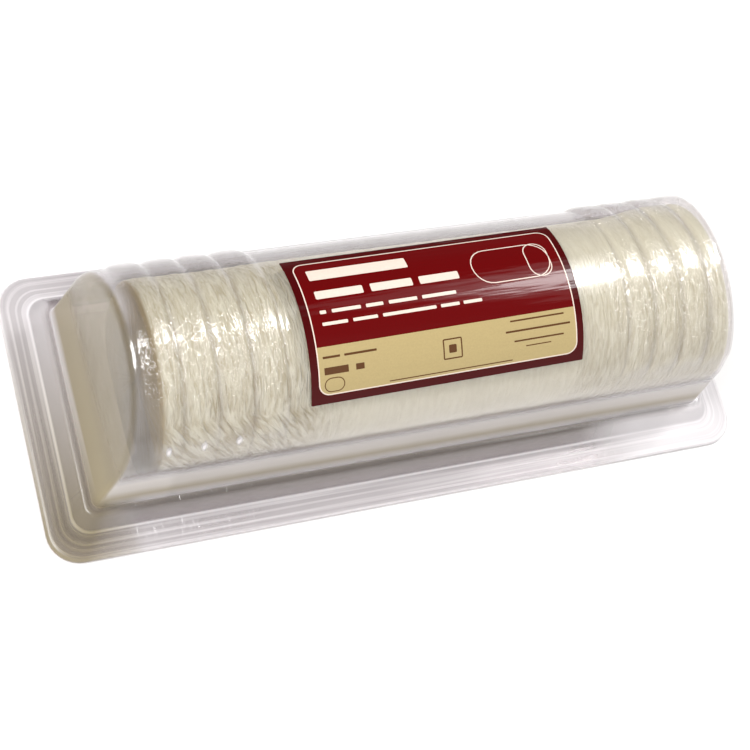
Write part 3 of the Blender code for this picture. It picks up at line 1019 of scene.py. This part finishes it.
# Rows of bars on the field: low, high and corner, then each bar's left and right
LIGHT_ROWS = (
    (12.6, 17.4, 0.5, ((-46.7, -8.6),)),
    (4.6, 7.8, 0.5, ((-46.8, -28.6), (-25.6, -9.4), (-6.6, 9.0))),
    (-1.1, 0.2, 0.3, ((-46.9, -44.6), (-42.4, -31.4), (-29.4, -22.8), (-20.6, -9.6), (-7.6, 5.8))),
    (-5.4, -4.2, 0.3, ((-47.0, -37.4), (-35.4, -26.0), (-24.0, -3.2), (-1.4, 6.0), (7.6, 15.0))),
)
PANEL_BARS = (
    (-49.1, -42.6, -16.8, -16.0), (-41.0, -28.7, -16.8, -16.0), (-48.9, -39.8, -22.6, -20.0),
    (-37.0, -33.8, -22.4, -20.2), (24.3, 46.4, -14.7, -14.1), (22.1, 48.6, -18.5, -17.8),
    (25.3, 45.7, -22.2, -21.6), (30.0, 40.4, -24.4, -24.0), (-24.4, 24.5, -29.0, -28.6),
)


class AddPrint(bpy.types.Operator):
    """Adds the label's printed fields, lines and plain bars"""
    bl_idname = "cheese_log.add_print"
    bl_label = "Label print"

    def execute(self, context):
        sizes = context.scene.cheese_log_label

        def lay(piece, layer, colour, name):
            """Rolls a piece of print onto the label, that many layers of ink over it."""
            height = sizes.thickness + layer * INK_THICKNESS
            wrap_on_dome(piece, height, INK_THICKNESS, sizes.tilt)
            finish_piece(piece, "label", make_printed_paper(name, colour))

        field = add_flat_bar("label_field", *FIELD_PLACE, FIELD_CORNER)
        lay(field, 0.0, sizes.field, "varnished_red_ink")
        panel = add_flat_bar("label_panel", *PANEL_PLACE, 0.0)
        bpy.ops.object.mode_set(mode="EDIT")
        sheet = bmesh.from_edit_mesh(panel.data)
        for vert in sheet.verts:
            vert.select = vert.co.y < -20.0 * MM
        sheet.select_flush(True)
        bpy.ops.mesh.bevel(affect="VERTICES", offset=FIELD_CORNER * MM, segments=8)
        bpy.ops.object.mode_set(mode="OBJECT")
        lay(panel, 1.2, sizes.panel, "varnished_cream_ink")

        light = [add_outline("label_line", LINE_PLACE, 4.3, 0.45)]
        for low, high, corner, bars in LIGHT_ROWS:
            light += [add_flat_bar("label_light_bar", left, right, low, high, corner) for left, right in bars]
        light.append(add_outline("label_log_outline", LOG_OUTLINE_PLACE, 7.4, 0.4))
        light.append(add_outline("label_log_end", LOG_END_PLACE, 4.7, 0.4))
        lay(join_pieces("label_light_print", light), 2.4, sizes.light_ink, "varnished_light_ink")

        dark = [add_flat_bar("label_panel_bar", *place, 0.15) for place in PANEL_BARS]
        dark += [
            add_outline("label_oval", OVAL_PLACE, 2.69, 0.35),
            add_outline("label_mark", MARK_PLACE, 0.6, 0.5),
            add_flat_bar("label_mark_core", *MARK_CORE_PLACE, 0.4),
        ]
        lay(join_pieces("label_dark_print", dark), 2.4, sizes.dark_ink, "varnished_brown_ink")
        return {"FINISHED"}


class StageSettings(bpy.types.PropertyGroup):
    floor: FloatVectorProperty(
        name="Floor", description="Colour of the floor", default=linear("#fbfafa"), subtype="COLOR")
    softbox: FloatProperty(name="Softbox", description="Power of the main lamp", default=4.6, unit="POWER")
    fill: FloatProperty(
        name="Fill", description="Power of the panel at the left", default=4.3, unit="POWER")
    surround: FloatProperty(
        name="Surround", description="Strength of the room's light all round", default=0.46, min=0.0)
    front_wall: FloatProperty(
        name="Front wall", description="What the white wall behind the viewer adds", default=0.47, min=0.0)
    lens: FloatProperty(name="Lens", description="Focal length in millimetres", default=79.86, min=10.0)


def add_panel_lamp(name, place, width, height, power, target):
    """A flat lamp of that size, turned to face the target."""
    bpy.ops.object.light_add(type="AREA", location=place)
    lamp = bpy.context.object
    lamp.name = name
    lamp.data.shape = "RECTANGLE"
    lamp.data.size = width
    lamp.data.size_y = height
    lamp.data.energy = power
    lamp.rotation_euler = (Vector(target) - lamp.location).to_track_quat("-Z", "Y").to_euler()


class AddStage(bpy.types.Operator):
    """Adds the floor, the lamps, the room's light and the camera"""
    bl_idname = "cheese_log.add_stage"
    bl_label = "Stage"

    def execute(self, context):
        settings = context.scene.cheese_log_stage
        deselect_all()
        bpy.ops.mesh.primitive_plane_add(size=6.0, location=(0.0, 0.0, -0.05 * MM))
        floor = name_new("studio_floor")
        material, tree = new_material("white_studio_card")
        card = add_node(tree, "BsdfPrincipled", {"Base Color": (*settings.floor, 1.0), "Roughness": 0.8})
        add_node(tree, "OutputMaterial", {"Surface": card.outputs[0]})
        floor.data.materials.append(material)
        deselect_all()

        for place, width, height, share in SOFTBOX_SHEETS:
            add_panel_lamp("softbox", place, width, height, share * settings.softbox, SOFTBOX_TARGET)
        add_panel_lamp("fill_panel", FILL_PLACE, FILL_SIZE, FILL_SIZE, settings.fill, FILL_TARGET)

        # The room is pale and dimmer on its far side, and the white wall behind the viewer darkens upwards
        world = bpy.data.worlds.new("studio_room")
        context.scene.world = world
        world.use_nodes = True
        room = world.node_tree
        background = room.nodes["Background"]
        background.inputs["Color"].default_value = ROOM_COLOUR
        direction = add_node(room, "TexCoord").outputs["Generated"]
        along = add_node(
            room, "VectorMath", {0: direction, 1: FRONT_WALL_DIRECTION}, operation="DOT_PRODUCT")
        facing = along.outputs["Value"]
        height = add_node(room, "SeparateXYZ", {0: direction}).outputs[2]
        wall = product(
            room, remap(room, facing, -0.1, 0.5, 0.0, 1.0), remap(room, height, 0.97, 0.7, 0.35, 1.0))
        even = remap(room, facing, -0.45, 0.1, 0.4 * settings.surround, settings.surround)
        level = add_node(room, "Math", {0: wall, 1: settings.front_wall, 2: even}, operation="MULTIPLY_ADD")
        room.links.new(level.outputs[0], background.inputs["Strength"])

        bpy.ops.object.camera_add()
        camera = bpy.context.object
        camera.name = "photo_camera"
        turned = Matrix((CAMERA_RIGHT, CAMERA_UP, -Vector(CAMERA_VIEW))).transposed().to_4x4()
        camera.matrix_world = Matrix.Translation(CAMERA_PLACE) @ turned
        camera.data.lens = settings.lens
        camera.data.sensor_width = 36.0
        camera.data.clip_start = 0.01
        camera.data.shift_y = CAMERA_SHIFT
        context.scene.camera = camera
        context.scene.view_settings.view_transform = "Standard"
        deselect_all()
        return {"FINISHED"}


class CheeseLogPanel(bpy.types.Panel):
    """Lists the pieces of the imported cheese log"""
    bl_idname = "VIEW3D_PT_cheese_log"
    bl_label = "Cheese Log"
    bl_space_type = "VIEW_3D"
    bl_region_type = "UI"
    bl_category = "Cheese Log"

    def draw(self, context):
        for operator in OPERATORS:
            self.layout.operator(operator.bl_idname)


OPERATORS = (AddDome, AddFilm, AddCheese, AddLabel, AddPrint, AddStage)
GROUPS = (
    ("cheese_log_dome", DomeSizes),
    ("cheese_log_film", FilmSizes),
    ("cheese_log_cheese", CheeseSizes),
    ("cheese_log_label", LabelSizes),
    ("cheese_log_stage", StageSettings),
)


def register():
    for name, group in GROUPS:
        bpy.utils.register_class(group)
        setattr(bpy.types.Scene, name, PointerProperty(type=group))
    for operator in OPERATORS:
        bpy.utils.register_class(operator)
    bpy.utils.register_class(CheeseLogPanel)


def unregister():
    bpy.utils.unregister_class(CheeseLogPanel)
    for operator in reversed(OPERATORS):
        bpy.utils.unregister_class(operator)
    for name, group in reversed(GROUPS):
        delattr(bpy.types.Scene, name)
        bpy.utils.unregister_class(group)


def main():
    register()
    deselect_all()
    bpy.ops.cheese_log.add_stage()
    bpy.ops.cheese_log.add_dome()
    bpy.ops.cheese_log.add_film()
    bpy.ops.cheese_log.add_cheese()
    bpy.ops.cheese_log.add_label()
    bpy.ops.cheese_log.add_print()


if __name__ == "__main__":
    main()
